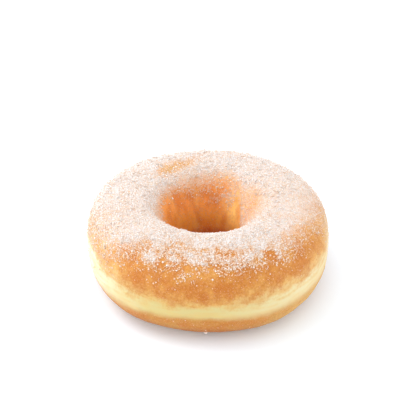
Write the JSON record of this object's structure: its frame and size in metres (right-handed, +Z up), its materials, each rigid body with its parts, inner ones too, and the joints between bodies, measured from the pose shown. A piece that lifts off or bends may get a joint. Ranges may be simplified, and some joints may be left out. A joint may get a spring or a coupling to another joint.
{
  "type": "sugared ring doughnut",
  "caption": "Ring of fried raised dough with a domed browned top, a pale band round its middle, a flat foot and a hole through it, dusted with sugar.",
  "frame": {"origin": "centre of the flat foot, on the axis of the hole, in the plane that the doughnut rests on", "axes": "+Z up along the axis of the hole, from the foot to the domed top; -Y is the side that faces the camera in the picture and +X is the picture's right"},
  "size_m": [0.0907, 0.0896, 0.0345],
  "materials": {
    "crust": "soft browned crust with a slight sheen of frying fat, golden on top, cream-yellow in a band round the middle and tan underneath",
    "sugar": "loose white sugar crystals of about half a millimetre"
  },
  "bodies": {
    "root": {"ring_doughnut": "crust"}
  },
  "joints": []
}
